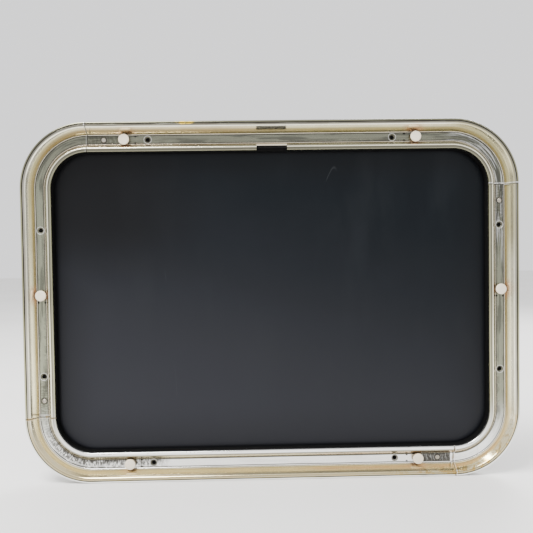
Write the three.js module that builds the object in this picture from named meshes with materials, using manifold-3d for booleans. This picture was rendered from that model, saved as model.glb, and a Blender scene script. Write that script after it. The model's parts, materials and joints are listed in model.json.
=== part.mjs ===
// Opening porthole: a four-piece channel frame, a bottom-hinged smoked sash and two cam latches.
// Millimetres. X to the right, Z up, Y inboard. The hull seat is the plane y = 0, seen from -Y outside.

import * as THREE from 'three';
import * as BufferGeometryUtils from 'three/addons/utils/BufferGeometryUtils.js';
import Module from 'manifold-3d';

const wasm = await Module();
wasm.setup();

// Frame outline
const frameWidth = 570;
const frameHeight = 413;
const cornerRadius = 75.3;
const bendSteps = 10;
const arcSegments = bendSteps / 2;
const seamGap = 0.3;

// Channel section, measured inward from the outer edge (inset) and along Y
const wall = 1.8;
const crestY = -15;
const innerCrestY = -10.4;
const floorY = -3.6;
const floorBackY = floorY + wall;
const floorStart = 14.6;
const floorEnd = 23.8;
const floorMiddle = (floorStart + floorEnd) / 2;
const sleeveOuter = 25.4;
const sleeveInner = sleeveOuter + wall;
const sleeveEndY = 28;
const flangeWidth = 33.5;
const lipEndY = -6.2;

// Holes and fittings along the channel
const screwHole = { radius: 2.3, sink: 4, sinkDepth: 1.4, onLong: 141, onShort: 84.5 };
const rivet = { hole: 1.9, radius: 1.6, head: 2.8, crown: 1.7, shoulder: 0.5, dome: 0.6, fromSeam: 18.5 };
const splice = { barSide: 26, cornerSide: 10, halfWidth: 3.6, frontY: -1.5, backY: -0.2 };
const button = { radius: 6.1, topY: -9.8, underY: -7.4, edge: 0.7, stem: 2.2 };
const buttonAt = { onLong: 167.5, onShort: 9.6 };
const clip = { halfLength: 3.6, thickness: 0.7, gap: 0.35, armRise: 1.8, armLean: 1.1, hole: 2.6 };
const stake = { radius: 0.8, offset: 4.1, onLong: 155, onShort: 1.5 };
const notch = { left: -16, right: 19, fromInset: 25.4, bottomY: -5, topY: -20 };

// Seal and sash
const seal = { outer: 27.5, inner: 34.2, backY: 3.6, footY: -4.3, neckOuter: 29.3 };
const sealTail = { outer: 30.5, tipY: -8.2, gap: 0.3 };
const bedding = { outer: 13, inner: 25.1, frontY: -1.4, backY: -0.05, plateGap: 0.3 };
const sashEdge = 30.6;
const pane = { frontY: 4, backY: 9 };
const tape = { outer: 31.6, inner: 42, frontY: 9.05, backY: 10.15 };
const sash = { inner: 43.2, frontY: 10.2, backY: 18 };

// Hinges at the sill
const hingeAxis = { y: 33, z: -177 };
const hinge = { x: 150, halfWidth: 25, knuckle: 4, pin: 2, bore: 2.3, middle: 11.2, washer: 0.8, gap: 0.25 };
const washerInset = 0.2;
const pinHead = { tail: 25.8, radius: 3.4, edge: 0.6, end: 26.8 };
const frameLeaf = { drop: 0.3, thickness: 1.6, frontY: 9, backY: 28.6, screwX: 17, screwY: 17 };
const sashLeaf = { frontY: 18.1, thickness: 2, topZ: -163.8, bottomZ: -175.4, screwX: 19.5, screwZ: -169.4 };
const hingeScrew = { shank: 1.4, head: 2.7, sink: 1.3, length: 5.4, clearance: 0.3 };

// Side profile of the sash leaf's arm as [y, z] steps back from the leaf, then about the hinge axis
const arm = { bulgeY: 3, bulgeZ: -170.5, overY: 1.4, overZ: 3.6, underY: -3.9, underZ: 0.3 };

// Latches at the head
const latch = { x: 150, inset: 37, tongueReach: 9.3, tongueHub: 6.4, tongueTip: 4 };
const spindle = { radius: 3, frontY: 10.9, headRadius: 5, edge: 0.9, headY: 27.2, endY: 28.6 };
const bush = { hole: 4.5, barrel: 4.2, bore: 3.3, flange: 6.2, frontY: 13.7, faceY: 18.1, endY: 19.1 };
const latchNut = { radius: 5.6, frontY: 11.2, backY: 13.2, pocket: 7, pocketY: 13.5 };
const tongue = { frontY: 19.4, backY: 21.8 };
const handle = { hub: 7.6, frontY: 22.2, backY: 26.9, reach: 54, tip: 5.2, root: 5.8, lift: 0.4, edge: 0.8 };
const keeper = { halfLength: 12, frontY: 22.1, backY: 26.6, drop: 0.3, bottomZ: 177.4 };
const keeperPin = { radius: 1.5, head: 2.2, recess: 0.2, sink: 1 };
const spindleFit = 0.15;
const overshoot = 1;
const faceSkim = 0.01;
const rivetGap = 0.1;
const stemEndGap = 0.2;

const topZ = frameHeight / 2;
const sideX = frameWidth / 2;
const latchZ = topZ - latch.inset;
const sleeveTopZ = topZ - sleeveInner;
const keeperY = (keeper.frontY + keeper.backY) / 2;

// Materials

function metal(color, roughness) {
  return new THREE.MeshStandardMaterial({ color, roughness, metalness: 1 });
}

function nonMetal(color, roughness) {
  return new THREE.MeshStandardMaterial({ color, roughness, metalness: 0 });
}

const anodised = metal(0xcfc6b0, 0.25);
const millAluminium = metal(0xb9b9b6, 0.4);
const steel = metal(0xc4c6c8, 0.25);
const springSteel = metal(0x8d8577, 0.4);
const nylon = nonMetal(0xf0e4d7, 0.6);
const blackNylon = nonMetal(0x17181a, 0.5);
const rubber = nonMetal(0x080808, 0.7);
const smokedAcrylic = new THREE.MeshStandardMaterial({
  color: 0x32373b,
  roughness: 0.12,
  metalness: 0,
  transparent: true,
  opacity: 0.85,
});

// Solids: every three.js geometry becomes a closed, outward-facing manifold before it is cut or joined

function signedVolume(positions, triangles) {
  const [a, b, c] = [new THREE.Vector3(), new THREE.Vector3(), new THREE.Vector3()];
  let total = 0;
  for (let i = 0; i < triangles.length; i += 3) {
    a.fromArray(positions, 3 * triangles[i]);
    b.fromArray(positions, 3 * triangles[i + 1]);
    c.fromArray(positions, 3 * triangles[i + 2]);
    total += a.dot(b.cross(c));
  }
  return total;
}

function toSolid(geometry) {
  const bare = geometry.clone();
  bare.deleteAttribute('normal');
  bare.deleteAttribute('uv');
  const merged = BufferGeometryUtils.mergeVertices(bare, 1e-4);
  const positions = merged.attributes.position.array;
  const index = Array.from(merged.index.array);
  const triangles = [];
  for (let i = 0; i < index.length; i += 3) {
    const [a, b, c] = index.slice(i, i + 3);
    if (a !== b && b !== c && c !== a) triangles.push(a, b, c);
  }
  if (signedVolume(positions, triangles) < 0) triangles.reverse();
  const mesh = new wasm.Mesh({
    numProp: 3,
    vertProperties: Float32Array.from(positions),
    triVerts: Uint32Array.from(triangles),
  });
  return new wasm.Manifold(mesh);
}

function toGeometry(solid) {
  const mesh = solid.getMesh();
  const geometry = new THREE.BufferGeometry();
  geometry.setAttribute('position', new THREE.BufferAttribute(mesh.vertProperties, 3));
  geometry.setIndex(new THREE.BufferAttribute(mesh.triVerts, 1));
  geometry.computeVertexNormals();
  return geometry;
}

function named(name, solid, material, parent) {
  const mesh = new THREE.Mesh(toGeometry(solid), material);
  mesh.name = name;
  parent.add(mesh);
}

// Basic forms. A plate's outline is drawn in (x, z) and reaches from y = frontY to y = backY.

function plate(shape, frontY, backY) {
  const geometry = new THREE.ExtrudeGeometry(shape, {
    depth: backY - frontY,
    bevelEnabled: false,
    curveSegments: arcSegments,
  });
  geometry.rotateX(Math.PI / 2);
  geometry.translate(0, backY, 0);
  return toSolid(geometry);
}

function block(x0, x1, y0, y1, z0, z1) {
  const geometry = new THREE.BoxGeometry(x1 - x0, y1 - y0, z1 - z0);
  geometry.translate((x0 + x1) / 2, (y0 + y1) / 2, (z0 + z1) / 2);
  return toSolid(geometry);
}

// A turned form about an axis parallel to Y through (x, z); profile is a list of [radius, y]
function turned(profile, x, z, segments = 16) {
  const points = profile.map(([radius, y]) => new THREE.Vector2(radius, y));
  const geometry = new THREE.LatheGeometry(points, segments);
  geometry.translate(x, 0, z);
  return toSolid(geometry);
}

function rodY(radius, frontY, backY, x, z, segments = 16) {
  return turned([[0, frontY], [radius, frontY], [radius, backY], [0, backY]], x, z, segments);
}

// The same turned form laid along X (its local Y becomes X) through (y, z)
function turnedX(profile, y, z, segments = 16) {
  const points = profile.map(([radius, along]) => new THREE.Vector2(radius, along));
  const geometry = new THREE.LatheGeometry(points, segments);
  geometry.rotateZ(-Math.PI / 2);
  geometry.translate(0, y, z);
  return toSolid(geometry);
}

function rodX(radius, x0, x1, y, z, segments = 16) {
  return turnedX([[0, x0], [radius, x0], [radius, x1], [0, x1]], y, z, segments);
}

function turnedZ(profile, x, y, segments = 12) {
  const points = profile.map(([radius, along]) => new THREE.Vector2(radius, along));
  const geometry = new THREE.LatheGeometry(points, segments);
  geometry.rotateX(Math.PI / 2);
  geometry.translate(x, y, 0);
  return toSolid(geometry);
}

// Rounded rectangle that runs parallel to the frame's outline, set inward by `inset`
function outline(inset) {
  const x = sideX - inset;
  const z = topZ - inset;
  const r = cornerRadius - inset;
  const path = new THREE.Shape();
  path.moveTo(-x + r, z);
  path.lineTo(x - r, z);
  path.absarc(x - r, z - r, r, Math.PI / 2, 0, true);
  path.lineTo(x, -z + r);
  path.absarc(x - r, -z + r, r, 0, -Math.PI / 2, true);
  path.lineTo(-x + r, -z);
  path.absarc(-x + r, -z + r, r, -Math.PI / 2, -Math.PI, true);
  path.lineTo(-x, z - r);
  path.absarc(-x + r, z - r, r, Math.PI, Math.PI / 2, true);
  return path;
}

function ring(outerInset, innerInset, frontY, backY) {
  const opening = plate(outline(innerInset), frontY - overshoot, backY + overshoot);
  return plate(outline(outerInset), frontY, backY).subtract(opening);
}

// Channel rails. Each rail is a straight bar along local X with its outer edge at z = 0, then a bend down.

class RailPath extends THREE.Curve {
  constructor(halfLength) {
    super();
    this.halfLength = halfLength;
  }

  bendAngle(t) {
    const step = t * (bendSteps + 1);
    return Math.max(0, step - 1) / bendSteps * Math.PI / 2;
  }

  getPointAt(t, target = new THREE.Vector3()) {
    const angle = this.bendAngle(t);
    const x = t === 0 ? -this.halfLength + seamGap : this.halfLength + cornerRadius * Math.sin(angle);
    return target.set(x, 0, -cornerRadius * (1 - Math.cos(angle)));
  }

  getTangentAt(t, target = new THREE.Vector3()) {
    const angle = this.bendAngle(t);
    return target.set(Math.cos(angle), 0, -Math.sin(angle));
  }
}

// The extruded section as [inset, y]: foot, skirt, outer crest, wall, floor, inner wall, lip and sleeve
function railSection() {
  const points = [
    [0, 0], [0, -11], [0.7, -13.4], [2.2, -14.7], [3.8, crestY], [5.2, -14.7], [6.1, -13.7],
    [13.2, -3.9], [13.5, -3.3], [14.2, -3.3], [floorStart, floorY], [floorEnd, floorY],
    [24, -3.3], [24.4, -3.3], [24.6, -3.9], [28.9, -9.7], [29.6, -10.2], [30.6, innerCrestY],
    [32.3, -10.2], [33.2, -9.6], [flangeWidth, -8.8], [flangeWidth, lipEndY], [flangeWidth - wall, lipEndY],
    [31.7, -8.2], [31.2, -8.6], [30.4, -8.5], [sleeveInner, -4.6], [sleeveInner, sleeveEndY],
    [sleeveOuter, sleeveEndY], [sleeveOuter, floorBackY], [12.5, floorBackY], [4.8, -12.7],
    [3.6, -13.3], [2.4, -12.8], [wall, -11], [wall, -wall], [6, -wall], [6, 0],
  ];
  return new THREE.Shape(points.map(([inset, y]) => new THREE.Vector2(inset, y)));
}

function countersunkHole(x) {
  const front = floorY - faceSkim;
  return turned([
    [0, front],
    [screwHole.sink, front],
    [screwHole.radius, floorY + screwHole.sinkDepth],
    [screwHole.radius, floorBackY + overshoot],
    [0, floorBackY + overshoot],
  ], x, -floorMiddle);
}

function floorHole(radius, x, z = -floorMiddle, segments = 12) {
  return rodY(radius, floorY - overshoot, floorBackY + overshoot, x, z, segments);
}

function railBody(rail) {
  const geometry = new THREE.ExtrudeGeometry(railSection(), {
    steps: bendSteps + 1,
    extrudePath: new RailPath(rail.halfLength),
  });
  let body = toSolid(geometry).subtract(floorHole(rivet.hole, rail.rivetAt));
  for (const side of [-1, 1]) body = body.subtract(countersunkHole(side * rail.screwAt));
  for (const x of rail.buttonsAt) body = body.subtract(floorHole(button.stem + clip.gap, x));
  for (const x of rail.stakesAt) {
    for (const side of [-1, 1]) {
      body = body.subtract(floorHole(stake.radius, x, -floorMiddle + side * stake.offset, 6));
    }
  }
  for (const [x, y, radius] of rail.sleeveHoles) {
    const hole = turnedZ([
      [0, -sleeveInner - overshoot],
      [radius, -sleeveInner - overshoot],
      [radius, -sleeveOuter + overshoot],
      [0, -sleeveOuter + overshoot],
    ], x, y);
    body = body.subtract(hole);
  }
  if (rail.notched) {
    const inner = -flangeWidth - overshoot;
    body = body.subtract(block(notch.left, notch.right, notch.topY, notch.bottomY, inner, -notch.fromInset));
  }
  return body;
}

function splicePlate(seamX, rivetX) {
  const z0 = -floorMiddle - splice.halfWidth;
  const z1 = -floorMiddle + splice.halfWidth;
  const body = block(seamX - splice.cornerSide, seamX + splice.barSide, splice.frontY, splice.backY, z0, z1);
  const [holeStart, holeEnd] = [splice.frontY - overshoot, splice.backY + overshoot];
  return body.subtract(rodY(rivet.hole, holeStart, holeEnd, rivetX, -floorMiddle, 12));
}

function spliceRivet(x) {
  const underHead = floorY - rivetGap;
  return turned([
    [0, underHead - rivet.dome],
    [rivet.crown, underHead - rivet.shoulder],
    [rivet.head, underHead],
    [rivet.radius, underHead],
    [rivet.radius, splice.backY],
    [0, splice.backY],
  ], x, -floorMiddle, 12);
}

function nylonButton(x) {
  return turned([
    [0, button.topY],
    [button.radius - button.edge, button.topY],
    [button.radius, button.topY + button.edge],
    [button.radius, button.underY - button.edge / 2],
    [button.radius - button.edge / 2, button.underY],
    [button.stem, button.underY],
    [button.stem, floorBackY - stemEndGap],
    [0, floorBackY - stemEndGap],
  ], x, -floorMiddle, 20);
}

// A spring strip pressed into the channel under each button: a base and two arms that lean on the walls
function springClip(x) {
  const baseY = floorY - clip.gap;
  const armTopY = baseY - clip.thickness - clip.armRise;
  const half = (floorEnd - floorStart) / 2 - clip.gap;
  const shape = new THREE.Shape();
  shape.moveTo(-half, baseY);
  shape.lineTo(half, baseY);
  shape.lineTo(half + clip.armLean, armTopY);
  shape.lineTo(half + clip.armLean - clip.thickness, armTopY);
  shape.lineTo(half - clip.thickness, baseY - clip.thickness);
  shape.lineTo(-half + clip.thickness, baseY - clip.thickness);
  shape.lineTo(-half - clip.armLean + clip.thickness, armTopY);
  shape.lineTo(-half - clip.armLean, armTopY);
  shape.closePath();
  const geometry = new THREE.ExtrudeGeometry(shape, { depth: 2 * clip.halfLength, bevelEnabled: false });
  geometry.translate(0, 0, -clip.halfLength);
  geometry.rotateY(Math.PI / 2);
  geometry.translate(x, 0, -floorMiddle);
  const hole = rodY(clip.hole, armTopY - overshoot, floorY + overshoot, x, -floorMiddle, 12);
  return toSolid(geometry).subtract(hole);
}

function addRail(parent, rail) {
  const group = new THREE.Group();
  group.rotation.y = rail.turn;
  group.position.set(rail.x, 0, rail.z);
  parent.add(group);
  named(`${rail.name}_rail`, railBody(rail), anodised, group);
  named(`${rail.name}_splice_plate`, splicePlate(-rail.halfLength, rail.rivetAt), millAluminium, group);
  named(`${rail.name}_splice_rivet`, spliceRivet(rail.rivetAt), millAluminium, group);
  rail.buttonsAt.forEach((x, i) => {
    named(`${rail.name}_nylon_button_${i + 1}`, nylonButton(x), nylon, group);
    named(`${rail.name}_spring_clip_${i + 1}`, springClip(x), springSteel, group);
  });
}

function longRail(name, turn, z, notched, sleeveHoles) {
  const halfLength = sideX - cornerRadius;
  return {
    name, turn, x: 0, z, halfLength, notched, sleeveHoles,
    screwAt: screwHole.onLong,
    rivetAt: -halfLength + rivet.fromSeam,
    buttonsAt: [-buttonAt.onLong, buttonAt.onLong],
    stakesAt: [-stake.onLong, stake.onLong],
  };
}

// On the side rails local X runs down on the right and up on the left, so heights change sign
function sideRail(name, turn, x) {
  const halfLength = topZ - cornerRadius;
  const up = -Math.sign(turn);
  return {
    name, turn, x, z: 0, halfLength, notched: false, sleeveHoles: [],
    screwAt: screwHole.onShort,
    rivetAt: -halfLength + rivet.fromSeam,
    buttonsAt: [up * buttonAt.onShort],
    stakesAt: [up * stake.onShort],
  };
}

const pinHoles = [-latch.x, latch.x].map((x) => [x, keeperY, keeperPin.radius + hingeScrew.clearance]);
const leafXs = [-hinge.x, hinge.x].flatMap((x) => [x - frameLeaf.screwX, x + frameLeaf.screwX]);
const leafHoles = leafXs.map((x) => [x, frameLeaf.screwY, hingeScrew.shank + hingeScrew.clearance]);
const rails = [
  longRail('top', 0, topZ, true, pinHoles),
  sideRail('right', Math.PI / 2, sideX),
  longRail('bottom', Math.PI, -topZ, false, leafHoles),
  sideRail('left', -Math.PI / 2, -sideX),
];

// The frame seal fills the pocket behind the inner lip and faces the pane with its flat back
function frameSeal() {
  const foot = ring(seal.outer, seal.inner, seal.footY, seal.backY);
  const neckY = lipEndY + sealTail.gap;
  const neck = ring(seal.neckOuter, seal.inner, neckY, seal.footY);
  const tail = ring(sealTail.outer, flangeWidth - wall - sealTail.gap, sealTail.tipY, neckY);
  return foot.add(neck).add(tail);
}

// Butyl bedding tape behind the floor, which the fixing screws pierce; relieved round each splice plate
function beddingTape() {
  let body = ring(bedding.outer, bedding.inner, bedding.frontY, bedding.backY);
  for (const rail of rails) {
    const gap = bedding.plateGap;
    const length = splice.barSide + splice.cornerSide + 2 * gap;
    const relief = new THREE.BoxGeometry(length, wall + overshoot, 2 * (splice.halfWidth + gap));
    const middle = -rail.halfLength + (splice.barSide - splice.cornerSide) / 2;
    relief.translate(middle, -wall / 2, -floorMiddle);
    relief.rotateY(rail.turn);
    relief.translate(rail.x, 0, rail.z);
    body = body.subtract(toSolid(relief));
  }
  return body;
}

// Sash

function sashFrame() {
  let body = ring(sashEdge, sash.inner, sash.frontY, sash.backY);
  for (const side of [-1, 1]) {
    const x = side * latch.x;
    body = body.subtract(rodY(bush.hole, sash.frontY - overshoot, sash.backY + overshoot, x, latchZ));
    body = body.subtract(rodY(latchNut.pocket, sash.frontY - overshoot, latchNut.pocketY, x, latchZ));
    for (const end of [-1, 1]) {
      const screwX = side * hinge.x + end * sashLeaf.screwX;
      const radius = hingeScrew.shank + hingeScrew.clearance;
      const depth = sash.backY - hingeScrew.length;
      body = body.subtract(rodY(radius, depth, sash.backY + overshoot, screwX, sashLeaf.screwZ, 10));
    }
  }
  return body;
}

function addSash(parent) {
  named('smoked_pane', plate(outline(sashEdge), pane.frontY, pane.backY), smokedAcrylic, parent);
  named('glazing_tape', ring(tape.outer, tape.inner, tape.frontY, tape.backY), rubber, parent);
  named('sash_frame', sashFrame(), millAluminium, parent);
}

// Hinges, built about x = 0 and placed by their group

function knuckle(x0, x1) {
  return rodX(hinge.knuckle, x0, x1, hingeAxis.y, hingeAxis.z, 20);
}

function pinBore() {
  const end = hinge.halfWidth + overshoot;
  return rodX(hinge.bore, -end, end, hingeAxis.y, hingeAxis.z);
}

// Screw with its axis along Z: a hole (wider) or the screw itself, head up at z = headZ
function screwAlongZ(x, y, headZ, extra) {
  return turnedZ([
    [0, headZ],
    [hingeScrew.head + extra, headZ],
    [hingeScrew.shank + extra, headZ - hingeScrew.sink],
    [hingeScrew.shank + extra, headZ - hingeScrew.length],
    [0, headZ - hingeScrew.length],
  ], x, y);
}

// Screw with its axis along Y, head at y = headY facing inboard
function screwAlongY(x, z, headY, extra) {
  return turned([
    [0, headY - hingeScrew.length],
    [hingeScrew.shank + extra, headY - hingeScrew.length],
    [hingeScrew.shank + extra, headY - hingeScrew.sink],
    [hingeScrew.head + extra, headY],
    [0, headY],
  ], x, z, 12);
}

const sillZ = -sleeveTopZ;
const frameLeafTopZ = sillZ + frameLeaf.drop + frameLeaf.thickness;

function hingeFrameLeaf() {
  const bottomZ = sillZ + frameLeaf.drop;
  const side = hinge.halfWidth;
  const innerX = hinge.middle + hinge.washer + 2 * hinge.gap;
  let body = block(-side, side, frameLeaf.frontY, frameLeaf.backY, bottomZ, frameLeafTopZ);
  for (const [x0, x1] of [[-side, -innerX], [innerX, side]]) {
    body = body.add(block(x0, x1, frameLeaf.backY - 1, hingeAxis.y, bottomZ, frameLeafTopZ));
    body = body.add(knuckle(x0, x1));
  }
  for (const x of [-frameLeaf.screwX, frameLeaf.screwX]) {
    body = body.subtract(screwAlongZ(x, frameLeaf.screwY, frameLeafTopZ + faceSkim, hingeScrew.clearance));
  }
  return body.subtract(pinBore());
}

function hingeSashLeaf() {
  const faceY = sashLeaf.frontY;
  const backY = faceY + sashLeaf.thickness;
  let body = block(-hinge.halfWidth, hinge.halfWidth, faceY, backY, sashLeaf.bottomZ, sashLeaf.topZ);
  const side = new THREE.Shape();
  side.moveTo(faceY, sashLeaf.bottomZ);
  side.lineTo(faceY, sashLeaf.topZ);
  side.lineTo(backY, sashLeaf.topZ);
  side.lineTo(backY + arm.bulgeY, arm.bulgeZ);
  side.lineTo(hingeAxis.y + arm.overY, hingeAxis.z + arm.overZ);
  side.lineTo(hingeAxis.y, hingeAxis.z);
  side.lineTo(hingeAxis.y + arm.underY, hingeAxis.z + arm.underZ);
  side.closePath();
  const geometry = new THREE.ExtrudeGeometry(side, { depth: 2 * hinge.middle, bevelEnabled: false });
  geometry.translate(0, 0, -hinge.middle);
  geometry.applyMatrix4(new THREE.Matrix4().set(0, 0, 1, 0, 1, 0, 0, 0, 0, 1, 0, 0, 0, 0, 0, 1));
  body = body.add(toSolid(geometry)).add(knuckle(-hinge.middle, hinge.middle));
  for (const x of [-sashLeaf.screwX, sashLeaf.screwX]) {
    body = body.subtract(screwAlongY(x, sashLeaf.screwZ, backY + faceSkim, hingeScrew.clearance));
  }
  return body.subtract(pinBore());
}

function hingePin() {
  const underHead = hinge.halfWidth + hinge.gap;
  return turnedX([
    [0, -pinHead.tail],
    [hinge.pin, -pinHead.tail],
    [hinge.pin, underHead],
    [pinHead.radius, underHead],
    [pinHead.radius - pinHead.edge, pinHead.end],
    [0, pinHead.end],
  ], hingeAxis.y, hingeAxis.z);
}

function frictionWasher() {
  const start = hinge.middle + hinge.gap;
  const radius = hinge.knuckle - washerInset;
  const disc = rodX(radius, start, start + hinge.washer, hingeAxis.y, hingeAxis.z);
  return disc.subtract(pinBore());
}

function addHinge(parent, side) {
  const group = new THREE.Group();
  const hand = side < 0 ? 'left' : 'right';
  group.position.x = side * hinge.x;
  parent.add(group);
  named(`${hand}_hinge_frame_leaf`, hingeFrameLeaf(), steel, group);
  named(`${hand}_hinge_sash_leaf`, hingeSashLeaf(), steel, group);
  named(`${hand}_hinge_pin`, hingePin(), steel, group);
  named(`${hand}_hinge_friction_washer`, frictionWasher(), blackNylon, group);
  [-1, 1].forEach((end, i) => {
    const onSill = screwAlongZ(end * frameLeaf.screwX, frameLeaf.screwY, frameLeafTopZ, 0);
    const headY = sashLeaf.frontY + sashLeaf.thickness;
    const onSash = screwAlongY(end * sashLeaf.screwX, sashLeaf.screwZ, headY, 0);
    named(`${hand}_hinge_frame_screw_${i + 1}`, onSill, steel, group);
    named(`${hand}_hinge_sash_screw_${i + 1}`, onSash, steel, group);
  });
}

// Latches, built about x = 0 at the spindle's height and placed by their group

function latchSpindle() {
  return turned([
    [0, spindle.frontY],
    [spindle.radius, spindle.frontY],
    [spindle.radius, spindle.headY],
    [spindle.headRadius, spindle.headY],
    [spindle.headRadius - spindle.edge, spindle.endY],
    [0, spindle.endY],
  ], 0, 0);
}

function latchBush() {
  const body = turned([
    [0, bush.frontY],
    [bush.barrel, bush.frontY],
    [bush.barrel, bush.faceY],
    [bush.flange, bush.faceY],
    [bush.flange, bush.endY],
    [0, bush.endY],
  ], 0, 0);
  return body.subtract(rodY(bush.bore, bush.frontY - overshoot, bush.endY + overshoot, 0, 0));
}

function spindleBore() {
  return rodY(spindle.radius + spindleFit, spindle.frontY - overshoot, spindle.endY + overshoot, 0, 0);
}

function latchNutBody() {
  return rodY(latchNut.radius, latchNut.frontY, latchNut.backY, 0, 0, 6).subtract(spindleBore());
}

// A bar with round ends of two radii, from the spindle to (0, reach) before it is turned
function taperedBar(rootRadius, tipRadius, reach) {
  const tipCentre = reach - tipRadius;
  const shape = new THREE.Shape();
  shape.absarc(0, 0, rootRadius, Math.PI, 2 * Math.PI, false);
  shape.absarc(0, tipCentre, tipRadius, 0, Math.PI, false);
  shape.closePath();
  return shape;
}

function turnedBar(shape, frontY, backY, turn) {
  return toSolid(toGeometry(plate(shape, frontY, backY)).rotateY(turn));
}

// Unlatched, the tongue lies along the rail towards the middle of the sash and the lever hangs down
function latchTongue(side) {
  const shape = taperedBar(latch.tongueTip, latch.tongueTip, latch.tongueReach);
  const bar = turnedBar(shape, tongue.frontY, tongue.backY, -side * Math.PI / 2);
  const hub = rodY(latch.tongueHub, tongue.frontY, tongue.backY, 0, 0);
  return hub.add(bar).subtract(spindleBore());
}

function latchHandle() {
  const shape = taperedBar(handle.root, handle.tip, handle.reach);
  const lever = turnedBar(shape, handle.frontY + handle.lift, handle.backY - handle.edge, Math.PI);
  const hub = turned([
    [0, handle.frontY],
    [handle.hub, handle.frontY],
    [handle.hub, handle.backY - handle.edge],
    [handle.hub - handle.edge, handle.backY],
    [0, handle.backY],
  ], 0, 0, 20);
  return hub.add(lever).subtract(spindleBore());
}

// The keeper is a bar under the sleeve's head, inboard of the tongue, held by one headed pin
function pinThroughKeeper(extra) {
  const headZ = keeper.bottomZ + keeperPin.recess;
  return turnedZ([
    [0, headZ],
    [keeperPin.head + extra, headZ],
    [keeperPin.radius + extra, headZ + keeperPin.sink],
    [keeperPin.radius + extra, topZ - sleeveOuter],
    [0, topZ - sleeveOuter],
  ], 0, keeperY);
}

function latchKeeper() {
  const top = sleeveTopZ - keeper.drop;
  const body = block(-keeper.halfLength, keeper.halfLength, keeper.frontY, keeper.backY, keeper.bottomZ, top);
  const mouthRadius = keeperPin.head + hingeScrew.clearance;
  const mouthTop = keeper.bottomZ + keeperPin.recess + faceSkim;
  const mouth = turnedZ([
    [0, keeper.bottomZ - overshoot],
    [mouthRadius, keeper.bottomZ - overshoot],
    [mouthRadius, mouthTop],
    [0, mouthTop],
  ], 0, keeperY);
  return body.subtract(pinThroughKeeper(hingeScrew.clearance)).subtract(mouth);
}

function addLatch(parent, side) {
  const group = new THREE.Group();
  const hand = side < 0 ? 'left' : 'right';
  group.position.set(side * latch.x, 0, latchZ);
  parent.add(group);
  named(`${hand}_latch_bush`, latchBush(), blackNylon, group);
  named(`${hand}_latch_nut`, latchNutBody(), steel, group);
  named(`${hand}_latch_spindle`, latchSpindle(), steel, group);
  named(`${hand}_latch_tongue`, latchTongue(side), steel, group);
  named(`${hand}_latch_handle`, latchHandle(), millAluminium, group);
  const overhead = new THREE.Group();
  overhead.position.x = side * latch.x;
  parent.add(overhead);
  named(`${hand}_latch_keeper`, latchKeeper(), millAluminium, overhead);
  named(`${hand}_keeper_pin`, pinThroughKeeper(0), steel, overhead);
}

const group = new THREE.Group();
for (const rail of rails) addRail(group, rail);
named('bedding_tape', beddingTape(), rubber, group);
named('frame_seal', frameSeal(), rubber, group);
addSash(group);
for (const side of [-1, 1]) {
  addHinge(group, side);
  addLatch(group, side);
}

export default group;
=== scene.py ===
import json
import math

import bmesh
import bpy
import numpy as np
from mathutils import Matrix, Vector


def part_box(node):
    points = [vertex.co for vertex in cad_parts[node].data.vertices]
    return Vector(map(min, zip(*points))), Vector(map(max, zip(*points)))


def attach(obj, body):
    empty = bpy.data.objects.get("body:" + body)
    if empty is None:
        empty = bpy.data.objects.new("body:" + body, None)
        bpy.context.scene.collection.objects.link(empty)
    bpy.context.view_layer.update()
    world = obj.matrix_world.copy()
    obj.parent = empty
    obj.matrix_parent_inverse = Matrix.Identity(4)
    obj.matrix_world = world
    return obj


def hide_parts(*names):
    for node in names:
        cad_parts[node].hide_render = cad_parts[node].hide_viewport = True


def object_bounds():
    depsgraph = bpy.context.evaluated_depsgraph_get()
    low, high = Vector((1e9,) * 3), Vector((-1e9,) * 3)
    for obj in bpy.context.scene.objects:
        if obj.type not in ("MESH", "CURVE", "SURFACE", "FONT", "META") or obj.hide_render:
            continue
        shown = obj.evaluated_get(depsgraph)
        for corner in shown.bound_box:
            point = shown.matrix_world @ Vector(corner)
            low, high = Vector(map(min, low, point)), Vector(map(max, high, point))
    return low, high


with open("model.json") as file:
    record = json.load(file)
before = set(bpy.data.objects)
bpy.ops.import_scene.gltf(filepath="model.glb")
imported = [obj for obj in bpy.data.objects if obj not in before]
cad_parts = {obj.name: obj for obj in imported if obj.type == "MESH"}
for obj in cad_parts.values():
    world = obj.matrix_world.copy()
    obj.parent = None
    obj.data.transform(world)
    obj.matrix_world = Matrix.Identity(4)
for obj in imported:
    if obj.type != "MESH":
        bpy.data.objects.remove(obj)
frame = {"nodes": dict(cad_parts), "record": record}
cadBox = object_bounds()
mm = 0.001
softEdge = 35         # degrees; sharper edges than this stay sharp
mergeDistance = 1e-6

# outline of the whole porthole; everything is placed by its distance inward from this edge ("inset")
outline = {
    "halfX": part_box("right_rail")[1][0],
    "halfZ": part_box("top_rail")[1][2],
    "cornerRadius": 75.3 * mm,
    "floorInset": 19.2 * mm,
}

camera = {
    "place": (-20.55 * mm, -744.9 * mm, 59.57 * mm),
    "turn": (-0.0268, -0.0195, -0.0141),
    "lens": 43.2,
    "sensor": 36.0,
}


def addObject(name, data):
    obj = bpy.data.objects.new(name, data)
    bpy.context.collection.objects.link(obj)
    return obj


def makeCamera():
    data = bpy.data.cameras.new("camera")
    data.lens = camera["lens"]
    data.sensor_width = camera["sensor"]
    obj = addObject("camera", data)
    rx, ry, rz = camera["turn"]
    look = Matrix.Rotation(rz, 3, "Z") @ Matrix.Rotation(ry, 3, "Y") @ Matrix.Rotation(rx, 3, "X")
    stand = Matrix(((1, 0, 0), (0, 0, -1), (0, 1, 0)))   # stands the view plane upright, facing -Y
    obj.matrix_world = Matrix.Translation(camera["place"]) @ (stand @ look).to_4x4()
    bpy.context.scene.camera = obj


makeCamera()
print("camera placed")


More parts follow.
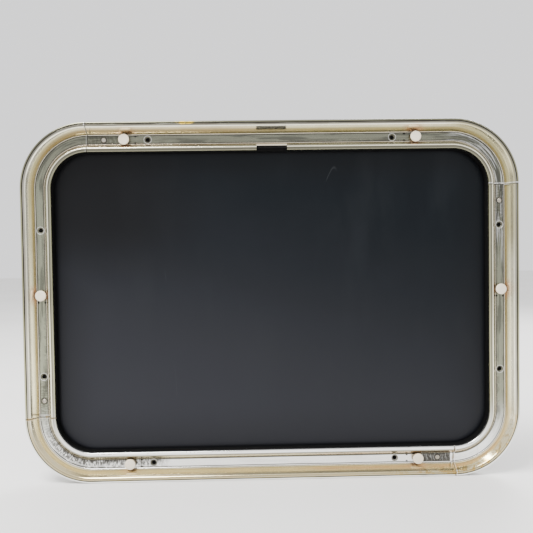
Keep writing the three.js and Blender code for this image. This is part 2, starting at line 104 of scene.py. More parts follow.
def roundedSection(corners, arcSteps=4):
    # corner list of (inset, y, radius) in mm; each corner becomes an arc tangent to both its sides
    table = np.array(corners, float)
    point, radius = table[:, :2], table[:, 2:]
    before = np.roll(point, 1, axis=0) - point
    after = np.roll(point, -1, axis=0) - point
    before /= np.linalg.norm(before, axis=1, keepdims=True)
    after /= np.linalg.norm(after, axis=1, keepdims=True)
    opening = np.arccos(np.clip((before * after).sum(1, keepdims=True), -0.9999, 0.9999))
    start = point + before * radius / np.tan(opening / 2)
    end = point + after * radius / np.tan(opening / 2)
    middle = before + after
    middle /= np.linalg.norm(middle, axis=1, keepdims=True)
    centre = point + middle * radius / np.sin(opening / 2)
    sweep = (math.pi - opening)[:, None, :]
    s = np.linspace(0, 1, arcSteps + 1)[None, :, None]
    fromStart = np.sin((1 - s) * sweep) * (start - centre)[:, None, :]
    towardsEnd = np.sin(s * sweep) * (end - centre)[:, None, :]
    arc = (fromStart + towardsEnd) / np.sin(sweep) + centre[:, None, :]
    return arc.reshape(-1, 2) * mm


def surface(points, wrapRows=False, wrapColumns=False, capRows=False):
    # quads between neighbouring grid points; wrapping joins the last row or column to the first
    rows, columns = points.shape[:2]
    index = np.arange(rows * columns).reshape(rows, columns)
    a = index if wrapRows else index[:-1]
    b = np.roll(index, -1, axis=0) if wrapRows else index[1:]
    if wrapColumns:
        a1, b1 = np.roll(a, -1, axis=1), np.roll(b, -1, axis=1)
    else:
        a, a1, b, b1 = a[:, :-1], a[:, 1:], b[:, :-1], b[:, 1:]
    faces = np.stack([a, a1, b1, b], axis=-1).reshape(-1, 4).tolist()
    if capRows:
        faces += [index[0].tolist(), index[-1].tolist()[::-1]]
    return points.reshape(-1, 3), faces


def meshPiece(name, parts, uv=None, smoothAngle=softEdge):
    # joins several (points, faces) surfaces into one mesh, closes seams and turns every face outwards
    vertices = np.concatenate([points for points, faces in parts])
    starts = np.cumsum([0] + [len(points) for points, faces in parts])
    faces = [[i + int(start) for i in face] for start, (points, group) in zip(starts, parts) for face in group]
    mesh = bpy.data.meshes.new(name)
    mesh.from_pydata(vertices.tolist(), [], faces)
    if uv is not None:
        layer = mesh.uv_layers.new(name="along")
        corner = np.empty(len(mesh.loops), np.int32)
        mesh.loops.foreach_get("vertex_index", corner)
        layer.data.foreach_set("uv", uv[corner].astype(np.float32).ravel())
    work = bmesh.new()
    work.from_mesh(mesh)
    bmesh.ops.remove_doubles(work, verts=work.verts, dist=mergeDistance)
    bmesh.ops.dissolve_degenerate(work, edges=work.edges, dist=mergeDistance)
    bmesh.ops.recalc_face_normals(work, faces=work.faces)
    work.to_mesh(mesh)
    work.free()
    obj = addObject(name, mesh)
    smooth(obj, smoothAngle)
    return obj


def smooth(obj, angle):
    mesh = obj.data
    mesh.polygons.foreach_set("use_smooth", np.ones(len(mesh.polygons), bool))
    mesh.set_sharp_from_angle(angle=math.radians(angle))


def carve(obj, parts):
    # cuts the closed shapes in parts out of obj for good
    cutter = meshPiece("cutter", parts, uv=np.zeros((sum(len(points) for points, faces in parts), 2)))
    cut = obj.modifiers.new("cut", "BOOLEAN")
    cut.object = cutter
    cut.solver = "EXACT"
    depsgraph = bpy.context.evaluated_depsgraph_get()
    mesh = bpy.data.meshes.new_from_object(obj.evaluated_get(depsgraph))
    obj.modifiers.clear()
    obj.data = mesh
    bpy.data.objects.remove(cutter)
    smooth(obj, softEdge)


def evenNormals(obj):
    weighted = obj.modifiers.new("evenNormals", "WEIGHTED_NORMAL")
    weighted.keep_sharp = True


def turned(profile, x, second, steps=48, axis="Y"):
    # a profile of (radius, along) in mm carried round an axis; second is the axis's z when it runs
    # along Y, and its y when it runs along Z
    profile = np.array(profile, float) * mm
    angle = np.linspace(0, 2 * math.pi, steps, endpoint=False)
    radius, along = profile[:, :1], np.repeat(profile[:, 1:], steps, axis=1)
    across, up = radius * np.cos(angle), radius * np.sin(angle)
    order = [x + across, along, second + up] if axis == "Y" else [x + across, second + up, along]
    return surface(np.stack(order, axis=-1), wrapColumns=True)


def softProfile(corners):
    # an open turned profile of (radius, along, rounding) whose ends lie on the axis
    arcSteps = 4
    table = roundedSection(corners, arcSteps) / mm
    steps = arcSteps + 1
    return np.vstack([corners[0][:2], table[steps:-steps], corners[-1][:2]])


def box(x0, x1, y0, y1, z0, z1):
    low, high = np.array([x0, y0, z0]) * mm, np.array([x1, y1, z1]) * mm
    ring = np.array([[0, 0], [1, 0], [1, 1], [0, 1]])
    points = np.array([[[i, j, k] for i, j in ring] for k in (0, 1)], float)
    return surface(low + points * (high - low), wrapColumns=True, capRows=True)


def loopPoints(inset, y):
    # the rounded rectangle that lies `inset` inside the outline: arcs of radius (corner - inset)
    # about the four corner centres, so that straight sides come from joining one arc to the next
    cornerSteps = 24
    quarter = np.linspace(math.pi / 2, 0, cornerSteps + 1)
    angle = np.concatenate([quarter, quarter - math.pi / 2, quarter - math.pi, quarter - 1.5 * math.pi])
    signX = np.repeat([1, 1, -1, -1], cornerSteps + 1)
    signZ = np.repeat([1, -1, -1, 1], cornerSteps + 1)
    cx = signX * (outline["halfX"] - outline["cornerRadius"])
    cz = signZ * (outline["halfZ"] - outline["cornerRadius"])
    radius = outline["cornerRadius"] - np.asarray(inset)[:, None]
    x = cx + radius * np.cos(angle)
    z = cz + radius * np.sin(angle)
    return np.stack([x, np.broadcast_to(np.asarray(y)[:, None], x.shape), z], axis=-1)


def ringPiece(name, corners):
    section = roundedSection(corners)
    points = loopPoints(section[:, 0], section[:, 1])
    return meshPiece(name, [surface(points, wrapRows=True, wrapColumns=True)])


def plug(tree, socket, value):
    # links another socket or sets a plain value; a plain colour gets its alpha here
    if isinstance(value, bpy.types.NodeSocket):
        tree.links.new(value, socket)
    else:
        socket.default_value = (*value, 1) if socket.type == "RGBA" else value


def addNode(tree, kind, inputs=None, **settings):
    node = tree.nodes.new(kind)
    for key, value in settings.items():
        setattr(node, key, value)
    for key, value in (inputs or {}).items():
        plug(tree, node.inputs[key], value)
    return node


def calc(tree, operation, *values, clamp=False):
    node = addNode(tree, "ShaderNodeMath", dict(enumerate(values)), operation=operation, use_clamp=clamp)
    return node.outputs[0]


def chain(tree, operation, values):
    result = values[0]
    for value in values[1:]:
        result = calc(tree, operation, result, value)
    return result


def times(tree, *values):
    return chain(tree, "MULTIPLY", values)


def largest(tree, *values):
    return chain(tree, "MAXIMUM", values)


def total(tree, *values):
    return chain(tree, "ADD", values)


def less(tree, value, taken):
    return calc(tree, "SUBTRACT", value, taken)


def away(tree, value, middle):
    # distance of a value from a middle
    return calc(tree, "ABSOLUTE", less(tree, value, middle))


def spotDistance(tree, u, v, atU, atV):
    # millimetres from the point (atU, atV)
    du, dv = less(tree, u, atU), less(tree, v, atV)
    square = total(tree, times(tree, du, du), times(tree, dv, dv))
    return times(tree, calc(tree, "SQRT", square), 1 / mm)


def fade(tree, value, low, high):
    # 0 below low, 1 above high, smooth between; low may be the larger one
    inputs = {"Value": value, "From Min": low, "From Max": high}
    return addNode(tree, "ShaderNodeMapRange", inputs, interpolation_type="SMOOTHSTEP").outputs[0]


def ramp(tree, value, stops):
    node = addNode(tree, "ShaderNodeValToRGB", {"Fac": value})
    elements = node.color_ramp.elements
    while len(elements) < len(stops):
        elements.new(0.5)
    for element, (position, colour) in zip(elements, stops):
        element.position = position
        element.color = (*colour, 1)
    return node.outputs["Color"]


def mixColour(tree, factor, first, second, blend="MIX"):
    inputs = {0: factor, 6: first, 7: second}
    node = addNode(tree, "ShaderNodeMix", inputs, data_type="RGBA", blend_type=blend)
    return node.outputs[2]


def noise(tree, vector, scale, detail=3, roughness=0.55, stretch=None):
    if stretch:
        product = addNode(tree, "ShaderNodeVectorMath", {0: vector, 1: stretch}, operation="MULTIPLY")
        vector = product.outputs[0]
    inputs = {"Vector": vector, "Scale": scale, "Detail": detail, "Roughness": roughness}
    return addNode(tree, "ShaderNodeTexNoise", inputs).outputs["Fac"]


def startGroup(name, inputs, outputs):
    group = bpy.data.node_groups.new(name, "ShaderNodeTree")
    for label, kind, value in inputs:
        socket = group.interface.new_socket(label, in_out="INPUT", socket_type=kind)
        if value is not None:
            socket.default_value = value
    for label, kind in outputs:
        group.interface.new_socket(label, in_out="OUTPUT", socket_type=kind)
    return group, addNode(group, "NodeGroupInput"), addNode(group, "NodeGroupOutput")


def useGroup(tree, group, inputs):
    return addNode(tree, "ShaderNodeGroup", inputs, node_tree=group)


def startMaterial(name, **plain):
    material = bpy.data.materials.new(name)
    material.use_nodes = True
    tree = material.node_tree
    shader = tree.nodes["Principled BSDF"]
    for key, value in plain.items():
        shader.inputs[key.replace("_", " ")].default_value = value
    place = addNode(tree, "ShaderNodeTexCoord").outputs["Object"]
    return material, tree, shader, place


def feed(tree, shader, **sockets):
    for key, socket in sockets.items():
        tree.links.new(socket, shader.inputs[key.replace("_", " ")])


def bumpInto(tree, shader, height, strength, distance):
    bump = addNode(tree, "ShaderNodeBump", {"Height": height, "Strength": strength, "Distance": distance})
    tree.links.new(bump.outputs["Normal"], shader.inputs["Normal"])


rails = {
    "halfLong": outline["halfX"] - outline["cornerRadius"],
    "halfShort": outline["halfZ"] - outline["cornerRadius"],
    "seamGap": 0.35 * mm,
    "barSteps": 13,
    "bendSteps": 44,
    "arcSteps": 5,
    "screwLong": 141.0,
    "screwShort": 84.5,
    "buttonLong": 167.5,
    "buttonShort": 9.6,
    "stakeLong": 155.0,
    "stakeShort": 1.5,
    "stakeApart": 4.1,
    "rivetFromSeam": 18.5,
    "notch": (-16.0, 19.0),
}

# each rail lies along X with its outer edge at z = 0, then is turned about Y and moved: (half, turn, x, z)
railPlaces = {
    "top": (rails["halfLong"], 0, 0, outline["halfZ"]),
    "right": (rails["halfShort"], math.pi / 2, outline["halfX"], 0),
    "bottom": (rails["halfLong"], math.pi, 0, -outline["halfZ"]),
    "left": (rails["halfShort"], -math.pi / 2, -outline["halfX"], 0),
}

# (inset, y, rounding) in mm: the side that faces the sea, from the foot over skirt, rim, hairline groove,
# crest, wall, floor between its two raised edges, inner wall and lip
railFace = [
    (0, 0, 0.2), (0, -14.1, 1.5), (2.5, -14.4, 0.2), (2.65, -13.5, 0.08), (2.95, -13.5, 0.08), (3.1, -15, 0.6),
    (5.9, -15, 2.6), (13.1, -4.1, 0.4), (13.4, -3.3, 0.15), (14.2, -3.3, 0.15), (14.5, -3.6, 0.1),
    (23.9, -3.6, 0.1), (24.0, -3.3, 0.1), (24.4, -3.3, 0.1), (24.7, -4.1, 0.6), (29.0, -10.3, 0.9),
    (33.5, -9.8, 1.0), (33.5, -6.2, 0.4),
]
# the side that faces the hull: lip pocket, sleeve, underside of the channel and of the crest
railBack = [
    (31.7, -6.2, 0.3), (31.7, -8.4, 0.5), (30.3, -8.6, 0.5), (27.2, -4.6, 0.5), (27.2, 28, 0.5), (25.4, 28, 0.5),
    (25.4, -1.8, 0.4), (12.5, -1.8, 0.4), (5.2, -12.4, 0.5), (1.8, -12.0, 0.5), (1.8, -1.8, 0.2), (6, -1.8, 0.4),
    (6, 0, 0.2),
]


def railSection():
    # the whole section in metres and the distance travelled round it
    section = roundedSection(railFace + railBack, rails["arcSteps"])
    steps = np.linalg.norm(np.diff(section, axis=0), axis=1)
    return section, np.concatenate([[0], np.cumsum(steps)])


def makeInsetGroup():
    # inset in mm from the outline: signed distance to a rounded rectangle in the XZ plane
    group, into, out = startGroup(
        "insetMap", [("Place", "NodeSocketVector", None)], [("Inset", "NodeSocketFloat")])
    axes = addNode(group, "ShaderNodeSeparateXYZ", {0: into.outputs[0]}).outputs
    radius = outline["cornerRadius"]
    qx = less(group, calc(group, "ABSOLUTE", axes[0]), outline["halfX"] - radius)
    qz = less(group, calc(group, "ABSOLUTE", axes[2]), outline["halfZ"] - radius)
    px, pz = largest(group, qx, 0.0), largest(group, qz, 0.0)
    length = calc(group, "SQRT", total(group, times(group, px, px), times(group, pz, pz)))
    inside = calc(group, "MINIMUM", largest(group, qx, qz), 0.0)
    distance = less(group, total(group, length, inside), radius)
    group.links.new(times(group, distance, -1 / mm), out.inputs[0])
    return group


def makeScratchGroup():
    # short thin lines: long stretched noise near its middle value, kept only in a few small places
    group, into, out = startGroup(
        "fineScratches",
        [("Place", "NodeSocketVector", None), ("Scale", "NodeSocketFloat", 40.0),
         ("Width", "NodeSocketFloat", 0.01)],
        [("Mask", "NodeSocketFloat")])
    spot = noise(group, into.outputs[0], 17, 2)
    masks = []
    for turn in (0.15, 0.9, 1.7, 2.6):
        inputs = {"Vector": into.outputs[0], "Rotation": (0.0, turn, 0.0), "Scale": (1.0, 1.0, 0.12)}
        vector = addNode(group, "ShaderNodeMapping", inputs).outputs[0]
        inputs = {"Vector": vector, "Scale": into.outputs[1], "Detail": 0.5}
        line = addNode(group, "ShaderNodeTexNoise", inputs).outputs[0]
        near = calc(group, "DIVIDE", away(group, line, 0.5), into.outputs[2])
        inputs = {"Vector": vector, "Scale": 22.0 + turn, "Detail": 1.0}
        kept = addNode(group, "ShaderNodeTexNoise", inputs).outputs[0]
        thin = fade(group, near, 1.0, 0.2)
        masks.append(times(group, thin, fade(group, kept, 0.66, 0.72), fade(group, spot, 0.56, 0.62)))
    group.links.new(largest(group, *masks), out.inputs[0])
    return group


insetGroup = makeInsetGroup()
scratchGroup = makeScratchGroup()


# colours of the frame's finish; some also stand in for light: the pale white for painted light at the sill, the
# bright line colour and the cream for painted highlights, and the near-black and the dark grey for painted shade
# in creases, in the countersinks, towards the head and on the right side
railFinish = {
    "rim": (0.37, 0.36, 0.22),
    "shoulder": (0.36, 0.34, 0.29),
    "paintedHighlight": (0.66, 0.61, 0.50),
    "creamHighlight": (0.97, 0.93, 0.74),
    "greyCream": (0.60, 0.60, 0.48),
    "tan": (0.33, 0.285, 0.165),
    "gold": (0.74, 0.62, 0.38),
    "sillTan": (0.68, 0.585, 0.355),
    "sillCrest": (0.45, 0.38, 0.22),
    "oldGold": (0.42, 0.38, 0.20),
    "floor": (0.27, 0.28, 0.205),
    "lip": (0.30, 0.29, 0.21),
    "lipShade": (0.12, 0.11, 0.075),
    "back": (0.33, 0.32, 0.30),
    "backDull": (0.21, 0.20, 0.18),
    "rust": (0.26, 0.11, 0.035),
    "coral": (0.55, 0.27, 0.14),
    "peach": (0.66, 0.45, 0.31),
    "grimeAndShade": (0.03, 0.026, 0.02),
    "yellow": (0.60, 0.42, 0.05),
    "paleAndLit": (0.98, 0.98, 0.96),
    "weatheredAndShade": (0.13, 0.125, 0.10),
    "smear": (0.05, 0.05, 0.045),
    "ochre": (0.42, 0.26, 0.05),
}

# colour across the channel by inset in mm: the dark lines at the hairline groove, the undercut and beside the
# floor are painted shade, the bright lines on the raised edges are painted highlights, and the cream on the upper
# walls is their tone with a painted highlight
railBands = [
    (0.0, "rim"), (2.0, "rim"), (2.2, "grimeAndShade"), (3.5, "grimeAndShade"), (3.8, "shoulder"), (5.0, "shoulder"),
    (6.2, "creamHighlight"), (9.4, "creamHighlight"), (11.0, "greyCream"), (12.0, "tan"), (12.8, "tan"), (13.1, "paintedHighlight"),
    (13.8, "paintedHighlight"), (14.05, "grimeAndShade"), (14.8, "grimeAndShade"), (15.3, "floor"), (22.8, "floor"), (23.2, "grimeAndShade"),
    (23.7, "grimeAndShade"), (24.0, "paintedHighlight"), (24.6, "paintedHighlight"), (24.9, "gold"), (25.9, "gold"), (26.8, "creamHighlight"),
    (29.8, "creamHighlight"), (30.4, "lipShade"), (31.1, "lipShade"), (31.6, "lip"), (33.5, "rim"),
]

# where the finish near the sill is lightened as painted light from below, given as (inset in mm, strength)
sillLightBands = [
    (0.0, 1), (1.9, 1), (2.1, 0), (12.0, 0), (12.4, 1), (13.8, 1), (14.05, 0), (14.8, 0), (15.3, 1),
    (22.9, 1), (23.2, 0), (29.5, 0), (29.9, 1), (33.5, 1),
]
bandWidth = 34.0   # inset in mm at the right end of both colour ramps

# limits of x or z in mm between which a part of the finish fades in
placeZones = {
    "sill": (-110, -180), "head": (110, 180), "sillLeft": (-118, -144), "sillRight": (20, 70),
    "shadedRight": (225, 255), "ends": (200, 230), "cornerX": (195, 225), "cornerZ": (30, 80),
    "oldGoldZ": (20, 120), "peachX": (60, -80), "stainX": (185, 215), "burnishX": (-50, 50),
    "dirtZ": (0, -60), "ochreX": (90, 200), "longSides": (158, 160), "shortSides": (238, 240),
}

# limits of inset in mm; a second pair is where the zone fades out again
insetZones = {
    "floor": (14.2, 14.8, 24.1, 23.6), "outerWall": (3.1, 3.6, 13.4, 13.0), "innerWall": (24.2, 24.8, 28.8, 28.2),
    "outerLip": (5.8, 4.9), "innerLip": (30.5, 31.1), "tannedWall": (12.4, 11.0), "crest": (6.2, 5.4),
    "corner": (4.2, 5.2), "oldGold": (7.5, 9.5), "peach": (28.2, 27.2), "outerEdge": (17.0, 14.8),
    "innerEdge": (18.5, 22.5), "scuffed": (15.2, 18.0), "ochre": (12.0, 6.0),
}

# thin lines as (middle, far, near) in mm: nothing beyond far from the middle, full within near
thinLines = {
    "innerWall": (26.9, 2.3, 2.0), "coral": (26.9, 1.6, 0.9), "underLip": (29.5, 1.0, 0.6),
    "besideFloor": (24.2, 0.6, 0.3), "countersink": (4.2, 0.5, 0.2), "burnish": (-1.4, 0.8, 0.3),
    "barEnd": (1.9, 1.6, 1.1),
}

# how strongly each layer is mixed in
railWear = {
    "wander": 0.7, "sillLight": 0.9, "rightSideShade": 0.6, "headLipShade": 0.7, "railFloorShade": 0.5, "film": 0.18,
    "oldGold": 0.75, "coral": 0.5, "sillLine": 0.8, "peach": 0.6, "wallStreaks": 0.3, "headStain": 0.85,
    "smear": 0.6, "sillSmear": 0.5, "polish": 0.45, "lipStreaks": 0.5, "mottleAbove": 0.35, "mottle": 0.9,
    "endTicks": 0.5, "barEnd": 0.8, "ticks": 0.88, "blush": 0.7, "rustAnywhere": 0.1, "rustAtEnds": 0.6,
    "countersinkShade": 0.8, "countersink": 0.45, "ring": 0.9, "dot": 0.9, "burnishAnywhere": 0.2, "burnishRight": 0.8,
    "burnish": 0.75, "dirt": 0.7, "joint": 0.75, "yellow": 0.7, "ochre": 0.75, "backPatches": 0.5,
    "drawnLines": 0.2,
}
railRough = {"least": 0.08, "floor": 0.14, "grain": 0.05, "hole": 0.3, "grimeAndShade": 0.3, "film": 0.3, "back": 0.16}
railMetal = {"clean": 0.94, "grimeAndShade": 0.6}
railBump = {"drawn": 0.6, "grain": 0.3, "grimeAndShade": 0.4, "strength": 0.1, "distance": 0.03 * mm}

# yellow residue on the head's rim: left of the middle and inset in mm, squeezed along x
residueSpot = {"left": 97, "inset": 1.6, "squeeze": 0.28}


def placeZone(tree, value, name):
    start, full = placeZones[name]
    return fade(tree, value, start * mm, full * mm)


def insetZone(tree, inset, name):
    limits = insetZones[name]
    return times(tree, *[fade(tree, inset, start, full) for start, full in zip(limits[::2], limits[1::2])])


def thinLine(tree, value, name):
    middle, far, near = thinLines[name]
    return fade(tree, away(tree, value, middle), far, near)


def folded(tree, x, z):
    # the rails repeat when the outline is turned half round, so each coordinate takes the other's sign
    return times(tree, x, calc(tree, "SIGN", z)), times(tree, z, calc(tree, "SIGN", x))


def seamOffset(tree, x, z):
    # signed mm from the nearest of the four seams, above zero on the bar and below zero on the bend
    signedX, signedZ = folded(tree, x, z)
    onLong = placeZone(tree, calc(tree, "ABSOLUTE", z), "longSides")
    onShort = placeZone(tree, calc(tree, "ABSOLUTE", x), "shortSides")
    fromLong = times(tree, total(tree, signedX, rails["halfLong"]), onLong)
    fromShort = times(tree, less(tree, rails["halfShort"], signedZ), onShort)
    elsewhere = less(tree, 1.0, largest(tree, onLong, onShort))
    return times(tree, total(tree, fromLong, fromShort, elsewhere), 1 / mm)


def fittingMasks(tree, x, z):
    # distance in mm from the nearest button, rivet, screw hole and stake
    absX, absZ = calc(tree, "ABSOLUTE", x), calc(tree, "ABSOLUTE", z)
    signedX, signedZ = folded(tree, x, z)
    floorX, floorZ = outline["halfX"] - outline["floorInset"], outline["halfZ"] - outline["floorInset"]
    fromSeam = rails["rivetFromSeam"] * mm
    button = calc(tree, "MINIMUM", spotDistance(tree, absX, absZ, rails["buttonLong"] * mm, floorZ),
                  spotDistance(tree, absX, z, floorX, rails["buttonShort"] * mm))
    rivet = calc(tree, "MINIMUM", spotDistance(tree, signedX, absZ, fromSeam - rails["halfLong"], floorZ),
                 spotDistance(tree, absX, signedZ, floorX, rails["halfShort"] - fromSeam))
    hole = calc(tree, "MINIMUM", spotDistance(tree, absX, absZ, rails["screwLong"] * mm, floorZ),
                spotDistance(tree, absX, absZ, floorX, rails["screwShort"] * mm))
    apart = rails["stakeApart"] * mm
    stake = calc(tree, "MINIMUM",
                 spotDistance(tree, absX, away(tree, absZ, floorZ), rails["stakeLong"] * mm, apart),
                 spotDistance(tree, away(tree, absX, floorX), z, apart, rails["stakeShort"] * mm))
    return button, rivet, hole, stake


def paint(tree, mask, base, key):
    return mixColour(tree, mask, base, railFinish[key])


def railMaterial():
    look, wear = railFinish, railWear
    material, tree, shader, place = startMaterial("anodisedFrame")
    inset = useGroup(tree, insetGroup, {"Place": place}).outputs["Inset"]
    along = addNode(tree, "ShaderNodeUVMap", uv_map="along").outputs[0]
    girth = addNode(tree, "ShaderNodeSeparateXYZ", {0: along}).outputs[1]
    axes = addNode(tree, "ShaderNodeSeparateXYZ", {0: place}).outputs
    x, z = axes[0], axes[2]
    wander = noise(tree, place, 14, 4)
    grain = noise(tree, place, 420, 4, 0.7)
    drawn = noise(tree, along, 1.0, 3, 0.6, stretch=(6.0, 1500.0, 1.0))
    streak = noise(tree, along, 1.0, 3, 0.6, stretch=(30.0, 700.0, 1.0))
    speckle = noise(tree, place, 170, 4, 0.65)

    # bands of colour across the channel, each edge wandering a little, holding painted shade in the creases and
    # painted highlights on the raised edges and upper walls
    shifted = total(tree, inset, times(tree, less(tree, wander, 0.5), wear["wander"]))
    across = calc(tree, "DIVIDE", shifted, bandWidth)
    bands = ramp(tree, across, [(at / bandWidth, look[key]) for at, key in railBands])
    sillLightMask = ramp(tree, across, [(at / bandWidth, (amount,) * 3) for at, amount in sillLightBands])
    onFloor = insetZone(tree, inset, "floor")
    onOuterWall = insetZone(tree, inset, "outerWall")
    onInnerWall = insetZone(tree, inset, "innerWall")
    onWall = largest(tree, onOuterWall, onInnerWall)
    lips = largest(tree, insetZone(tree, inset, "outerLip"), insetZone(tree, inset, "innerLip"))

    # painted light: paler towards the sill; painted shade: the lips and floor darker towards the head and the
    # floor darker on the right side
    low, high = placeZone(tree, z, "sill"), placeZone(tree, z, "head")
    aboveSill = less(tree, 1.0, low)
    # painted light: at the sill the rim, the raised edge beside the outer wall, the floor and the lip are
    # lightened as if lit from below
    sillLit = mixColour(tree, times(tree, low, sillLightMask, wear["sillLight"]), bands, look["paleAndLit"], "LIGHTEN")
    shadedRight = times(tree, placeZone(tree, x, "shadedRight"), aboveSill, wear["rightSideShade"])
    railFloorShade = times(tree, largest(tree, high, shadedRight), onFloor, wear["railFloorShade"])
    topAndRightShade = total(tree, times(tree, high, lips, wear["headLipShade"]), railFloorShade)
    shadedTopAndRight = mixColour(tree, topAndRightShade, sillLit, look["weatheredAndShade"], "DARKEN")

    # walls: tan with dark lines at the sill, coral at its right, old gold above, peach at the upper left
    film = times(tree, onWall, fade(tree, noise(tree, place, 22, 5, 0.6), 0.35, 0.75), wear["film"])
    outerTan = times(tree, onOuterWall, insetZone(tree, inset, "tannedWall"))
    tan = times(tree, low, largest(tree, outerTan, thinLine(tree, inset, "innerWall")))
    tanned = paint(tree, tan, shadedTopAndRight, "sillTan")
    crest = times(tree, low, onOuterWall, insetZone(tree, inset, "crest"))
    crested = paint(tree, crest, tanned, "sillCrest")
    corner = times(tree, placeZone(tree, x, "cornerX"), placeZone(tree, z, "cornerZ"),
                   insetZone(tree, inset, "corner"))
    upperWall = times(tree, placeZone(tree, z, "oldGoldZ"), insetZone(tree, inset, "oldGold"))
    golden = times(tree, largest(tree, upperWall, corner), onOuterWall, wear["oldGold"])
    gilded = paint(tree, golden, crested, "oldGold")
    coral = times(tree, low, thinLine(tree, inset, "coral"), placeZone(tree, x, "sillRight"), wear["coral"])
    flushed = paint(tree, coral, gilded, "coral")
    sillLines = largest(tree, thinLine(tree, inset, "underLip"), thinLine(tree, inset, "besideFloor"))
    lined = paint(tree, times(tree, low, sillLines, wear["sillLine"]), flushed, "lipShade")
    peach = times(tree, onInnerWall, high, placeZone(tree, x, "peachX"), insetZone(tree, inset, "peach"),
                  wear["peach"])
    filmed = mixColour(tree, film, mixColour(tree, peach, lined, look["peach"]), look["tan"])
    wallStreaks = times(tree, onWall, fade(tree, streak, 0.5, 0.62), wear["wallStreaks"])
    tinted = paint(tree, wallStreaks, filmed, "greyCream")

    # smears on the floor, thin at the sill and heavy at the upper right, where streaks are polished bright
    smear = fade(tree, noise(tree, along, 1.0, 4, 0.6, stretch=(16.0, 190.0, 1.0)), 0.48, 0.6)
    stain = fade(tree, noise(tree, along, 1.0, 4, 0.65, stretch=(9.0, 150.0, 1.0)), 0.42, 0.56)
    headStain = times(tree, placeZone(tree, x, "stainX"), placeZone(tree, z, "cornerZ"), stain, wear["headStain"])
    thinned = times(tree, smear, less(tree, wear["smear"], times(tree, low, wear["sillSmear"])))
    smears = times(tree, largest(tree, thinned, headStain), onFloor)
    polish = times(tree, onFloor, corner, fade(tree, streak, 0.5, 0.6), wear["polish"])
    smeared = mixColour(tree, polish, mixColour(tree, smears, tinted, look["smear"]), look["paleAndLit"])
    lipStreaks = times(tree, fade(tree, streak, 0.52, 0.72), lips, wear["lipStreaks"])
    streaked = paint(tree, lipStreaks, smeared, "weatheredAndShade")

    # floor: dark mottles along both its edges and short ticks across it near the seams
    offset = seamOffset(tree, x, z)
    fromSeam = calc(tree, "ABSOLUTE", offset)
    edges = largest(tree, insetZone(tree, inset, "outerEdge"), insetZone(tree, inset, "innerEdge"))
    onLeft = times(tree, low, placeZone(tree, x, "sillLeft"))
    mottle = times(tree, onFloor, edges, fade(tree, speckle, 0.45, 0.52), fade(tree, wander, 0.38, 0.5),
                   largest(tree, onLeft, times(tree, aboveSill, wear["mottleAbove"])))
    tick = noise(tree, along, 1.0, 4, 0.75, stretch=(620.0, 160.0, 1.0))
    scuffed = times(tree, onLeft, insetZone(tree, inset, "scuffed"))
    nearEnd = times(tree, fade(tree, offset, 46.0, 38.0), calc(tree, "GREATER_THAN", offset, 1.2))
    barEnd = times(tree, low, nearEnd)
    ground = largest(tree, times(tree, nearEnd, wear["endTicks"]), scuffed, barEnd)
    ticks = times(tree, onFloor, fade(tree, tick, 0.43, 0.5), ground)
    worn = paint(tree, times(tree, barEnd, onFloor, wear["barEnd"]), streaked, "smear")
    mottled = paint(tree, times(tree, mottle, wear["mottle"]), worn, "grimeAndShade")
    ticked = paint(tree, times(tree, ticks, wear["ticks"]), mottled, "grimeAndShade")

    # peach and rust where the spring clips bear on the walls, a dark ring round each rivet, a dark dot at each
    # stake, painted shade inside each countersink and a bright edge round each countersunk hole
    button, rivet, hole, stake = fittingMasks(tree, x, z)
    blush = times(tree, fade(tree, button, 17.0, 7.0), onWall, fade(tree, wander, 0.3, 0.6))
    ends = placeZone(tree, calc(tree, "ABSOLUTE", x), "ends")
    rust = times(tree, fade(tree, button, 9.2, 7.4), onWall, fade(tree, speckle, 0.44, 0.58),
                 total(tree, wear["rustAnywhere"], times(tree, ends, wear["rustAtEnds"])))
    ring = times(tree, fade(tree, rivet, 4.8, 3.4), fade(tree, speckle, 0.3, 0.55))
    dot = times(tree, fade(tree, stake, 1.7, 1.1), onFloor)
    blushed = paint(tree, times(tree, blush, wear["blush"]), ticked, "peach")
    rusty = paint(tree, rust, blushed, "rust")
    countersinkShade = paint(tree, times(tree, fade(tree, hole, 4.2, 3.8), wear["countersinkShade"]), rusty, "weatheredAndShade")
    holeEdge = times(tree, thinLine(tree, hole, "countersink"), onFloor, wear["countersink"])
    countersunk = paint(tree, holeEdge, countersinkShade, "paleAndLit")
    ringsAndDots = largest(tree, times(tree, ring, wear["ring"]), times(tree, dot, wear["dot"]))
    ringed = paint(tree, ringsAndDots, countersunk, "grimeAndShade")

    # seams: dark joint, burnished edge on the bend, brown dirt at the two lower ones
    joint = fade(tree, fromSeam, 0.9, 0.35)
    onRight = times(tree, placeZone(tree, x, "burnishX"), wear["burnishRight"])
    burnish = times(tree, thinLine(tree, offset, "burnish"), fade(tree, grain, 0.35, 0.5),
                    total(tree, wear["burnishAnywhere"], onRight), wear["burnish"])
    dirt = times(tree, fade(tree, fromSeam, 2.2, 0.4), fade(tree, speckle, 0.42, 0.54),
                 placeZone(tree, z, "dirtZ"))
    endTick = times(tree, low, onFloor, thinLine(tree, offset, "barEnd"))
    burnished = paint(tree, largest(tree, burnish, endTick), ringed, "paleAndLit")
    dirty = paint(tree, times(tree, dirt, wear["dirt"]), burnished, "ochre")
    jointed = paint(tree, times(tree, joint, wear["joint"]), dirty, "grimeAndShade")

